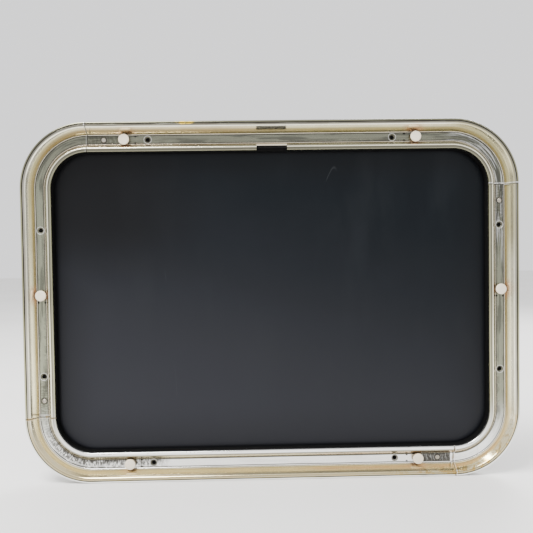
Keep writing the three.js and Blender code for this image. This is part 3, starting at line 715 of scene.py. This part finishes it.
    # yellow residue on the head's rim, a few small spots elsewhere, ochre marks at the lower right
    faceLength = railSection()[1][len(railFace) * (rails["arcSteps"] + 1)]
    front = calc(tree, "LESS_THAN", girth, float(faceLength))
    squeezed = times(tree, total(tree, x, residueSpot["left"] * mm), residueSpot["squeeze"])
    fromResidue = spotDistance(tree, squeezed, z, 0.0, outline["halfZ"] - residueSpot["inset"] * mm)
    residue = times(tree, fade(tree, fromResidue, 3.4, 2.2), fade(tree, speckle, 0.4, 0.5))
    spots = times(tree, fade(tree, noise(tree, place, 30, 6, 0.65), 0.7, 0.73), front)
    yellow = times(tree, largest(tree, residue, spots), wear["yellow"])
    yellowed = paint(tree, yellow, jointed, "yellow")
    ochre = times(tree, low, onOuterWall, insetZone(tree, inset, "ochre"), placeZone(tree, x, "ochreX"),
                  fade(tree, speckle, 0.5, 0.57), fade(tree, wander, 0.4, 0.52), wear["ochre"])
    ochred = paint(tree, ochre, yellowed, "ochre")

    # the side that faces the hull is plain mill finish with dull patches
    patches = fade(tree, noise(tree, place, 26, 5, 0.6), 0.42, 0.7)
    back = mixColour(tree, times(tree, patches, wear["backPatches"]), look["back"], look["backDull"])
    whole = mixColour(tree, front, back, ochred)
    line = fade(tree, drawn, 0.2, 0.8)
    lineGrey = addNode(tree, "ShaderNodeCombineColor", {0: line, 1: line, 2: line}).outputs[0]
    base = mixColour(tree, wear["drawnLines"], whole, lineGrey, "OVERLAY")

    # dirt is rougher and less metallic than the bare finish
    grimeAndShade = times(tree, largest(tree, mottle, rust, ring, dirt, joint), front)
    coated = total(tree, times(tree, grimeAndShade, railRough["grimeAndShade"]), times(tree, film, railRough["film"]))
    rough = total(tree, times(tree, onFloor, railRough["floor"]), times(tree, grain, railRough["grain"]),
                  times(tree, fade(tree, hole, 4.6, 4.2), railRough["hole"]), coated,
                  times(tree, less(tree, 1.0, front), railRough["back"]), railRough["least"])
    metallic = less(tree, railMetal["clean"], times(tree, grimeAndShade, railMetal["grimeAndShade"]))
    feed(tree, shader, Base_Color=base, Roughness=rough, Metallic=metallic)
    texture = total(tree, times(tree, grain, railBump["grain"]), times(tree, grimeAndShade, railBump["grimeAndShade"]))
    height = total(tree, times(tree, drawn, railBump["drawn"]), texture)
    bumpInto(tree, shader, height, railBump["strength"], railBump["distance"])
    return material


def metalMaterial(name, colour, dark, roughness, grain=(1.0, 1.0, 1.0), scale=300, tarnish=0.3):
    material, tree, shader, place = startMaterial(name, Metallic=1.0)
    lines = noise(tree, place, scale, 4, 0.65, stretch=grain)
    patches = noise(tree, place, 38, 4, 0.6)
    tarnished = mixColour(tree, times(tree, fade(tree, patches, 0.45, 0.75), tarnish), colour, dark)
    base = mixColour(tree, times(tree, fade(tree, lines, 0.45, 0.8), 0.25), tarnished, dark)
    rough = total(tree, roughness, times(tree, total(tree, lines, patches), 0.14))
    feed(tree, shader, Base_Color=base, Roughness=rough)
    bumpInto(tree, shader, lines, 0.2, 0.04 * mm)
    return material


def nylonMaterial(name, colour, stain, amount):
    material, tree, shader, place = startMaterial(name, IOR=1.5)
    grain = noise(tree, place, 900, 4, 0.7)
    blot = noise(tree, place, 150, 4, 0.6)
    base = mixColour(tree, times(tree, fade(tree, blot, 0.45, 0.75), amount), colour, stain)
    rough = total(tree, 0.42, times(tree, grain, 0.25))
    feed(tree, shader, Base_Color=base, Roughness=rough)
    bumpInto(tree, shader, grain, 0.35, 0.12 * mm)
    return material


def rubberMaterial():
    material, tree, shader, place = startMaterial("blackRubber", IOR=1.15)
    dust = fade(tree, noise(tree, place, 120, 5, 0.65), 0.5, 0.75)
    pores = noise(tree, place, 1500, 2)
    base = mixColour(tree, times(tree, dust, 0.25), (0.003, 0.003, 0.003), (0.016, 0.015, 0.014))
    rough = total(tree, 0.6, times(tree, pores, 0.3))
    feed(tree, shader, Base_Color=base, Roughness=rough)
    bumpInto(tree, shader, pores, 0.3, 0.05 * mm)
    return material


# colours of the smoked sheet: the film colour is the lighter tone of the painted reflected light towards the
# lower left, and the near-black is painted shade along the edge together with the glazing tape seen through the
# sheet
smokedLook = {
    "smoke": (0.0005, 0.002, 0.0038), "film": (0.0165, 0.0172, 0.0218), "smear": (0.015, 0.017, 0.02),
    "scratch": (0.06, 0.065, 0.07), "dust": (0.11, 0.11, 0.1), "shadeAndTape": (0.002, 0.002, 0.0025),
}


def acrylicMaterial():
    # dark smoked sheet painted lighter towards the lower left as painted reflected light, with patchy haze, dull
    # smears and fine scratches
    look = smokedLook
    material, tree, shader, place = startMaterial("smokedAcrylic", IOR=1.25)
    axes = addNode(tree, "ShaderNodeSeparateXYZ", {0: place}).outputs
    inset = useGroup(tree, insetGroup, {"Place": place}).outputs["Inset"]
    scratch = useGroup(tree, scratchGroup, {"Place": place, "Scale": 34.0, "Width": 0.005}).outputs[0]
    haze = noise(tree, place, 6, 4, 0.6)
    smear = noise(tree, place, 16, 4, 0.6, stretch=(1.0, 1.0, 0.25))
    dust = fade(tree, noise(tree, place, 650, 2, 0.5), 0.74, 0.82)
    # painted reflected light: the sheet grows lighter towards the lower left, broken up by patchy haze
    lean = total(tree, axes[2], times(tree, axes[0], 0.35))
    film = total(tree, fade(tree, lean, 190 * mm, -230 * mm), times(tree, less(tree, haze, 0.5), 0.25))
    filmed = mixColour(tree, calc(tree, "ADD", film, 0.0, clamp=True), look["smoke"], look["film"])
    smeared = mixColour(tree, times(tree, fade(tree, smear, 0.5, 0.75), 0.22), filmed, look["smear"])
    worn = mixColour(tree, times(tree, scratch, 0.25), smeared, look["scratch"])
    dusty = mixColour(tree, times(tree, dust, 0.12), worn, look["dust"])
    # painted shade: darker at the upper left and towards the edge, with a near-black band inside the lip that
    # also stands for the glazing tape seen through the sheet
    paintedShadeUpperLeft = times(tree, fade(tree, axes[0], -40 * mm, -190 * mm), fade(tree, axes[2], 0.0, 100 * mm))
    paintedEdgeShade = times(tree, fade(tree, inset, 90.0, 34.0), 0.35)
    shadeAndTape = largest(tree, fade(tree, inset, 38.5, 34.6), paintedEdgeShade, paintedShadeUpperLeft)
    base = mixColour(tree, times(tree, shadeAndTape, 0.85), dusty, look["shadeAndTape"])
    rough = total(tree, 0.26, total(tree, times(tree, haze, 0.16), times(tree, scratch, 0.2)))
    feed(tree, shader, Base_Color=base, Roughness=rough)
    return material


# name, colour, tarnish colour, roughness, then the stretch of the grain, its scale and the amount of tarnish
metals = {
    "mill_aluminium": ("millAluminium", (0.38, 0.37, 0.35), (0.18, 0.17, 0.14), 0.3),
    "rivet_aluminium": ("rivetAluminium", (0.46, 0.43, 0.37), (0.2, 0.16, 0.11), 0.22, (1, 1, 1), 300, 0.5),
    "sash_aluminium": ("sashAluminium", (0.39, 0.39, 0.38), (0.25, 0.24, 0.23), 0.28, (0.2, 1, 1), 500),
    "handle_aluminium": ("handleAluminium", (0.43, 0.43, 0.42), (0.25, 0.25, 0.24), 0.24, (1, 1, 1), 300, 0.2),
    "stainless_steel": ("stainlessSteel", (0.37, 0.37, 0.37), (0.21, 0.2, 0.2), 0.2, (0.15, 1, 1), 700),
    "spring_steel": ("springSteel", (0.58, 0.47, 0.34), (0.40, 0.20, 0.09), 0.4, (1, 1, 1), 300, 0.5),
}


def makeMaterials():
    made = {slotName: metalMaterial(*values) for slotName, values in metals.items()}
    made["anodised_frame"] = railMaterial()
    made["white_nylon"] = nylonMaterial("whiteNylon", (0.80, 0.71, 0.56), (0.6, 0.44, 0.28), 0.25)
    made["black_nylon"] = nylonMaterial("blackNylon", (0.02, 0.02, 0.022), (0.05, 0.05, 0.05), 0.4)
    made["black_rubber"] = rubberMaterial()
    made["smoked_acrylic"] = acrylicMaterial()
    return made


materials = makeMaterials()
print("materials made")


def finishPiece(obj, slotName, body, *nodes):
    obj.data.materials.clear()
    obj.data.materials.append(materials[slotName])
    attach(obj, body)
    if nodes:
        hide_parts(*nodes)
    return obj


def railSurface(half):
    # the section carried along a bar (x from -half to half) and then round a quarter bend:
    # x = centre + (corner - inset) sin(a), z = -corner + (corner - inset) cos(a)
    section, girth = railSection()
    barSteps, bendSteps = rails["barSteps"], rails["bendSteps"]
    centre = np.concatenate([np.linspace(-half + rails["seamGap"], half, barSteps), np.full(bendSteps, half)])
    angle = np.concatenate([np.zeros(barSteps), np.linspace(0, math.pi / 2, bendSteps + 1)[1:]])
    reach = outline["cornerRadius"] - section[:, 0]
    x = centre[:, None] + reach * np.sin(angle)[:, None]
    z = -outline["cornerRadius"] + reach * np.cos(angle)[:, None]
    y = np.broadcast_to(section[:, 1], x.shape)
    travel = centre + angle * (outline["cornerRadius"] - outline["floorInset"])
    uv = np.stack(np.broadcast_arrays(travel[:, None], girth[None, :]), axis=-1)
    return np.stack([x, y, z], axis=-1), uv.reshape(-1, 2)


def onRail(name, part):
    # takes a part drawn beside a rail that lies along X to that rail's place in the frame
    points, faces = part
    turn, x, z = railPlaces[name][1:]
    px = points[..., 0] * math.cos(turn) + points[..., 2] * math.sin(turn) + x
    pz = -points[..., 0] * math.sin(turn) + points[..., 2] * math.cos(turn) + z
    return np.stack([px, points[..., 1], pz], axis=-1), faces


def railSpots(name):
    # where the screw holes, buttons and stakes sit along each rail, in mm of its own X
    if name in ("top", "bottom"):
        kinds = {"screws": "screwLong", "buttons": "buttonLong", "stakes": "stakeLong"}
        return {kind: (-rails[key], rails[key]) for kind, key in kinds.items()}
    up = -1 if name == "right" else 1
    return {"screws": (-rails["screwShort"], rails["screwShort"]), "buttons": (up * rails["buttonShort"],),
            "stakes": (up * rails["stakeShort"],)}


# places shared by the latches, the hinges and the holes for their screws, in mm
hardware = {
    "apart": 150,             # latches and hinges left and right of the middle
    "latchInset": 37,
    "keeperScrew": {"y": 24.35, "radius": 1.8},
    "hingeScrew": {"y": 17, "radius": 1.7, "apart": 17},
    "sashScrew": {"z": -169.4, "radius": 1.7, "apart": 19.5},
}


def railCutters(name):
    z = -outline["floorInset"]
    spots = railSpots(name)
    sides = (-hardware["apart"], hardware["apart"])
    stakeHole = [(0, -6), (0.85, -6), (0.8, -3.1), (0.8, 2), (0, 2)]
    countersink = [(0, -9), (4.4, -9), (4.0, -3.6), (2.3, -2.1), (2.3, -1.6), (2.3, 2), (0, 2)]
    cutters = [turned(countersink, x * mm, z) for x in spots["screws"]]
    rivetX = -railPlaces[name][0] + rails["rivetFromSeam"] * mm
    cutters.append(turned([(0, -9), (1.9, -9), (1.9, 2), (0, 2)], rivetX, z, 32))
    for x in spots["buttons"]:
        cutters.append(turned([(0, -9), (2.55, -9), (2.55, 2), (0, 2)], x * mm, z, 32))
    for x in spots["stakes"]:
        for side in (-rails["stakeApart"], rails["stakeApart"]):
            cutters.append(turned(stakeHole, x * mm, z + side * mm, 20))
    if name == "top":
        screw = hardware["keeperScrew"]
        holes = [(x, screw["y"], screw["radius"]) for x in sides]
        left, right = rails["notch"]
        cutters.append(box(left, right, -20, -5.0, -34.5, -25.5))
    elif name == "bottom":
        screw = hardware["hingeScrew"]
        holes = [(x + dx, screw["y"], screw["radius"]) for x in sides for dx in (-screw["apart"], screw["apart"])]
    else:
        holes = []
    for x, y, radius in holes:
        profile = [(0, -29), (radius, -29), (radius, -24), (0, -24)]
        cutters.append(turned(profile, x * mm, y * mm, 32, "Z"))
    return [onRail(name, cutter) for cutter in cutters]


def makeRails():
    for name, (half, *_) in railPlaces.items():
        points, uv = railSurface(half)
        shell = onRail(name, surface(points, wrapColumns=True, capRows=True))
        obj = meshPiece(f"{name}RailShell", [shell], uv=uv)
        carve(obj, railCutters(name))
        evenNormals(obj)
        finishPiece(obj, "anodised_frame", "frame", f"{name}_rail")


makeRails()
print("rails made")


sealCorners = [
    (27.5, -4.0, 0.5), (29.4, -6.2, 0.5), (30.6, -8.0, 0.2), (31.3, -8.0, 0.2), (31.4, -5.9, 0.2),
    (34.0, -5.9, 0.7), (34.2, -2.0, 1.0), (33.8, 1.2, 0.8), (34.1, 3.6, 0.4), (27.5, 3.6, 0.5),
]
beddingCorners = [(13, -1.4, 0.3), (25.1, -1.4, 0.3), (25.1, -0.05, 0.3), (13, -0.05, 0.3)]
plateRelief = {"before": 10.3, "after": 26.3, "halfWidth": 3.9}
paneLook = {"edge": 30.6, "spine": 74, "frontY": 4.0, "backY": 9.0, "rounding": 0.6}
tapeCorners = [(31.6, 9.05, 0.2), (42, 9.05, 0.2), (42, 10.15, 0.2), (31.6, 10.15, 0.2)]
sashCorners = [
    (30.6, 10.2, 0.4), (43.2, 10.2, 0.4), (43.2, 16.4, 0.9), (41.8, 18, 0.9), (31.6, 18, 0.9), (30.6, 17, 0.9),
]


def makeSeals():
    finishPiece(ringPiece("frameSealRubber", sealCorners), "black_rubber", "frame", "frame_seal")
    bedding = ringPiece("beddingTapeStrip", beddingCorners)
    cutters = []
    for name, (half, *_) in railPlaces.items():
        seam, middle = -half / mm, -outline["floorInset"] / mm
        relief = box(seam - plateRelief["before"], seam + plateRelief["after"], -3, 2,
                     middle - plateRelief["halfWidth"], middle + plateRelief["halfWidth"])
        cutters.append(onRail(name, relief))
    carve(bedding, cutters)
    finishPiece(bedding, "black_rubber", "frame", "bedding_tape")


def makePane():
    # rings of the outline shrinking to a straight spine in the middle, front and back, with a rounded edge
    edge, spine, front, back, r = paneLook.values()
    quarter = np.linspace(0, math.pi / 2, 5)
    frontInset = edge + r - r * np.sin(quarter)
    frontY = front + r - r * np.cos(quarter)
    inset = np.concatenate([[spine], frontInset, frontInset[::-1], [spine]]) * mm
    y = np.concatenate([[front], frontY, front + back - frontY[::-1], [back]]) * mm
    points = loopPoints(inset, y)
    obj = meshPiece("smokedPaneSheet", [surface(points, wrapColumns=True, capRows=True)])
    evenNormals(obj)
    finishPiece(obj, "smoked_acrylic", "sash", "smoked_pane")


def makeSash():
    finishPiece(ringPiece("glazingTapeStrip", tapeCorners), "black_rubber", "sash", "glazing_tape")
    sash = ringPiece("sashFrameBar", sashCorners)
    screw = hardware["sashScrew"]
    bushHole = [(0, 8), (7, 8), (7, 13.5), (4.5, 13.5), (4.5, 20), (0, 20)]
    screwHole = [(0, 12.6), (screw["radius"], 12.6), (screw["radius"], 20), (0, 20)]
    cutters = []
    for side in (-hardware["apart"], hardware["apart"]):
        x, z = side * mm, outline["halfZ"] - hardware["latchInset"] * mm
        cutters.append(turned(bushHole, x, z))
        for dx in (-screw["apart"], screw["apart"]):
            cutters.append(turned(screwHole, x + dx * mm, screw["z"] * mm, 24))
    carve(sash, cutters)
    evenNormals(sash)
    finishPiece(sash, "sash_aluminium", "sash", "sash_frame")


makeSeals()
makePane()
makeSash()
print("seals, pane and sash made")


buttonCorners = [
    (0, -9.8, 0.3), (3.4, -9.75, 0.4), (5.6, -9.6, 0.5), (6.1, -8.9, 0.35), (6.1, -7.4, 0.25), (2.2, -7.4, 0.2),
    (2.2, -2.0, 0.2), (0, -2.0, 0.2),
]
rivetCorners = [
    (0, -4.25, 0.1), (0.7, -4.3, 0.2), (1.1, -4.0, 0.15), (1.5, -4.25, 0.2), (2.1, -4.15, 0.3),
    (2.75, -3.75, 0.1), (1.6, -3.7, 0.1), (1.6, -0.2, 0.1), (0, -0.2, 0.1),
]
clipLook = {"halfLength": 3.6, "thickness": 0.7, "half": 4.25, "rise": 2.5, "lean": 1.1, "baseY": -3.95}


def clipSurface(x):
    # a strip of bent section (across, depth) pressed out along the rail
    look = clipLook
    h, t, up = look["half"], look["thickness"], look["baseY"] - look["rise"]
    base, lean = look["baseY"], look["lean"]
    corners = [(-h - lean, up, 0.2), (-h, base, 0.6), (h, base, 0.6), (h + lean, up, 0.2),
               (h + lean - t, up, 0.2), (h - t, base - t, 0.3), (-h + t, base - t, 0.3), (-h - lean + t, up, 0.2)]
    section = roundedSection(corners, 3)
    run = x + np.linspace(-look["halfLength"], look["halfLength"], 9) * mm
    shape = (len(run), len(section))
    points = np.stack([np.broadcast_to(run[:, None], shape), np.broadcast_to(section[:, 1], shape),
                       np.broadcast_to(section[:, 0] - outline["floorInset"], shape)], axis=-1)
    return surface(points, wrapColumns=True, capRows=True)


def makeFittings():
    z = -outline["floorInset"]
    for name, (half, *_) in railPlaces.items():
        for number, spot in enumerate(railSpots(name)["buttons"], 1):
            x = spot * mm
            disc = onRail(name, turned(softProfile(buttonCorners), x, z, 64))
            button = meshPiece(f"{name}NylonButton{number}", [disc], smoothAngle=50)
            finishPiece(button, "white_nylon", "frame", f"{name}_nylon_button_{number}")
            clip = meshPiece(f"{name}SpringClip{number}", [onRail(name, clipSurface(x))])
            carve(clip, [onRail(name, turned([(0, -8), (2.6, -8), (2.6, 0), (0, 0)], x, z, 32))])
            finishPiece(clip, "spring_steel", "frame", f"{name}_spring_clip_{number}")
        head = onRail(name, turned(softProfile(rivetCorners), -half + rails["rivetFromSeam"] * mm, z, 40))
        rivet = meshPiece(f"{name}SpliceRivet", [head], smoothAngle=50)
        finishPiece(rivet, "rivet_aluminium", "frame", f"{name}_splice_rivet")


makeFittings()
print("buttons, clips and rivets made")


handleLook = {
    "hub": 7.6, "frontY": 22.2, "backY": 26.9, "reach": 54.0, "root": 5.8, "tip": 5.2, "waist": 0.9,
    "middleY": 24.6, "halfY": 1.75, "squareness": 0.6, "runSteps": 40, "tipSteps": 12, "roundSteps": 40,
}


def leverSurface(x, z):
    # a bar of superellipse section whose half width runs from root to tip and closes as a half circle
    look = handleLook
    s = np.linspace(0, 1, look["runSteps"])
    quarter = np.linspace(0, math.pi / 2, look["tipSteps"])[1:]
    end = look["reach"] - look["tip"]
    run = np.concatenate([s * end, end + look["tip"] * np.sin(quarter)])
    waisted = look["root"] + (look["tip"] - look["root"]) * s - look["waist"] * np.sin(math.pi * s)
    half = np.concatenate([waisted, look["tip"] * np.cos(quarter)])
    angle = np.linspace(0, 2 * math.pi, look["roundSteps"], endpoint=False)
    px = np.sign(np.cos(angle)) * np.abs(np.cos(angle)) ** look["squareness"]
    py = np.sign(np.sin(angle)) * np.abs(np.sin(angle)) ** look["squareness"]
    thin = np.minimum(1, half / 1.6)[:, None] ** 0.5
    points = np.stack([x + half[:, None] * px * mm, (look["middleY"] + look["halfY"] * py * thin) * mm,
                       np.broadcast_to(z - run[:, None] * mm, (len(run), look["roundSteps"]))], axis=-1)
    return surface(points, wrapColumns=True, capRows=True)


def makeHandles():
    look = handleLook
    radius, front, back = look["hub"], look["frontY"], look["backY"]
    hub = [(0, front, 0.2), (radius - 1.0, front, 0.5), (radius, front + 1, 0.6), (radius, back - 1.6, 1.0),
           (radius - 1.6, back, 1.0), (0, back, 0.2)]
    for hand, side in (("left", -hardware["apart"]), ("right", hardware["apart"])):
        x, z = side * mm, outline["halfZ"] - hardware["latchInset"] * mm
        parts = [turned(softProfile(hub), x, z, 56), leverSurface(x, z)]
        handle = meshPiece(f"{hand}LatchHandleLever", parts, smoothAngle=45)
        finishPiece(handle, "handle_aluminium", f"{hand}_latch", f"{hand}_latch_handle")


makeHandles()
print("handles made")


def dressNodes():
    slots = {entry["node"]: entry["material_slot"] for entry in frame["record"]["subparts"]}
    for name, obj in frame["nodes"].items():
        for index in range(len(obj.material_slots)):
            obj.material_slots[index].link = "OBJECT"
            obj.material_slots[index].material = materials[slots[name]]


dressNodes()
print("CAD nodes dressed")


stageLook = {
    "floorHalf": 6.0,
    "floorColour": (0.84, 0.83, 0.81),
    "floorShade": (0.8, 0.79, 0.77),
    "worldColour": (0.63, 0.63, 0.64),
    "worldStrength": 2.2,
}
lights = {
    "keyLight": {"place": (-0.8, -0.7, 1.8), "aim": (0, 0, -0.1), "size": (1.2, 0.9), "power": 95},
    "backLight": {"place": (0.8, 1.4, 1.1), "aim": (0, 0, 0), "size": (1.0, 0.8), "power": 36},
}


def areaLight(name, place, aim, size, power):
    data = bpy.data.lights.new(name, "AREA")
    data.shape = "RECTANGLE"
    data.size, data.size_y = size
    data.energy = power
    obj = addObject(name, data)
    obj.location = place
    obj.rotation_euler = (Vector(aim) - Vector(place)).to_track_quat("-Z", "Y").to_euler()


def makeStage():
    low = cadBox[0][2]
    reach = (-stageLook["floorHalf"], stageLook["floorHalf"])
    corners = np.array([[[x, y, low] for x in reach] for y in reach], float)
    points, faces = surface(corners)
    mesh = bpy.data.meshes.new("floor")
    mesh.from_pydata(points.tolist(), [], faces)
    floor = addObject("floor", mesh)
    material, tree, shader, place = startMaterial("paleFloor", Roughness=0.7)
    cloud = fade(tree, noise(tree, place, 3, 3), 0.3, 0.7)
    tone = mixColour(tree, cloud, stageLook["floorColour"], stageLook["floorShade"])
    feed(tree, shader, Base_Color=tone)
    mesh.materials.append(material)
    world = bpy.data.worlds.new("world")
    world.use_nodes = True
    sky = world.node_tree.nodes["Background"]
    sky.inputs["Color"].default_value = (*stageLook["worldColour"], 1)
    sky.inputs["Strength"].default_value = stageLook["worldStrength"]
    bpy.context.scene.world = world
    for name, light in lights.items():
        areaLight(name, **light)


makeStage()
print("stage made")
